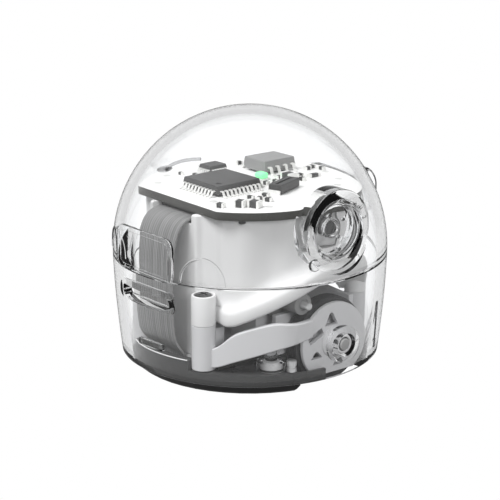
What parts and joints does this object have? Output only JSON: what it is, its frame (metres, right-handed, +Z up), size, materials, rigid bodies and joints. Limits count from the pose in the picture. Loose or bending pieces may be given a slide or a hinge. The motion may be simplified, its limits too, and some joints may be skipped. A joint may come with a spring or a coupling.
{
  "type": "educational coding robot",
  "caption": "Domed clear coding robot with a round circuit board, moulded chassis, small friction-driven wheels, a side push button and a dark sensor base.",
  "frame": {"origin": "on the ground, under the centre of the round shell", "axes": "+Z up; front, with the flex cable and window, is -Y; the power button side is +X"},
  "size_m": [0.0286, 0.0286, 0.0268],
  "materials": {
    "clear_plastic": "polished clear moulding",
    "white_plastic": "satin moulded white",
    "grey_plastic": "satin moulded light grey",
    "tray_plastic": "satin dark grey",
    "black_plastic": "semi-gloss black",
    "board": "white solder mask",
    "chip_dark": "matt epoxy",
    "chip_silver": "silvery epoxy",
    "led_green": "lit green lens",
    "flex": "grey film with fine lengthwise traces",
    "steel": "bright steel",
    "motor": "drawn steel can",
    "battery_wrap": "foil pouch",
    "tyre": "soft black rubber"
  },
  "bodies": {
    "chassis": {"clear_dome": "clear_plastic", "clear_skirt": "clear_plastic", "power_switch": "chip_dark", "main_board": "board", "microcontroller": "chip_dark", "driver_chip": "chip_silver", "memory_chip": "chip_dark", "side_connector": "chip_dark", "status_led": "led_green", "flex_cable": "flex", "flex_connector": "chip_dark", "usb_socket": "steel", "usb_tongue": "chip_dark", "battery": "battery_wrap", "left_motor_can": "motor", "right_motor_can": "motor", "upper_chassis": "white_plastic", "lower_chassis": "grey_plastic", "left_front_screw": "steel", "right_front_screw": "steel", "left_rear_screw": "steel", "right_rear_screw": "steel", "base_tray": "tray_plastic", "foot_plate": "black_plastic", "sensor_board": "board", "colour_sensor": "clear_plastic", "left_light_guide": "clear_plastic", "right_light_guide": "clear_plastic", "left_guide_pin": "steel", "right_guide_pin": "steel", "line_sensor_1": "chip_dark", "line_sensor_2": "chip_dark", "line_sensor_3": "chip_dark", "line_sensor_4": "chip_dark", "line_sensor_5": "chip_dark"},
    "power_button": {"power_button": "clear_plastic", "switch_plunger": "chip_dark"},
    "left_wheel": {"left_tyre": "tyre", "left_hub": "grey_plastic", "left_axle": "steel"},
    "right_wheel": {"right_tyre": "tyre", "right_hub": "grey_plastic", "right_axle": "steel"},
    "left_motor_rotor": {"left_motor_shaft": "steel"},
    "right_motor_rotor": {"right_motor_shaft": "steel"}
  },
  "joints": [
    {"name": "power_button_press", "type": "slide", "parent": "chassis", "child": "power_button", "axis": [-1, 0, 0], "range_m": [0, 0.0003], "stiffness_N_per_m": 400},
    {"name": "left_wheel_spin", "type": "hinge", "parent": "chassis", "child": "left_wheel", "pos_m": [0.0102, 0.0011, 0.0045], "axis": [1, 0, 0], "continuous": true},
    {"name": "left_motor_spin", "type": "hinge", "parent": "chassis", "child": "left_motor_rotor", "pos_m": [0.0102, -0.0024, 0.00895], "axis": [1, 0, 0], "continuous": true},
    {"name": "right_wheel_spin", "type": "hinge", "parent": "chassis", "child": "right_wheel", "pos_m": [-0.0102, 0.0011, 0.0045], "axis": [1, 0, 0], "continuous": true},
    {"name": "right_motor_spin", "type": "hinge", "parent": "chassis", "child": "right_motor_rotor", "pos_m": [-0.0102, -0.0024, 0.00895], "axis": [1, 0, 0], "continuous": true}
  ],
  "couplings": [
    {"joint": "left_motor_spin", "follows": "left_wheel_spin", "ratio": -4.0909},
    {"joint": "right_motor_spin", "follows": "right_wheel_spin", "ratio": -4.0909}
  ]
}
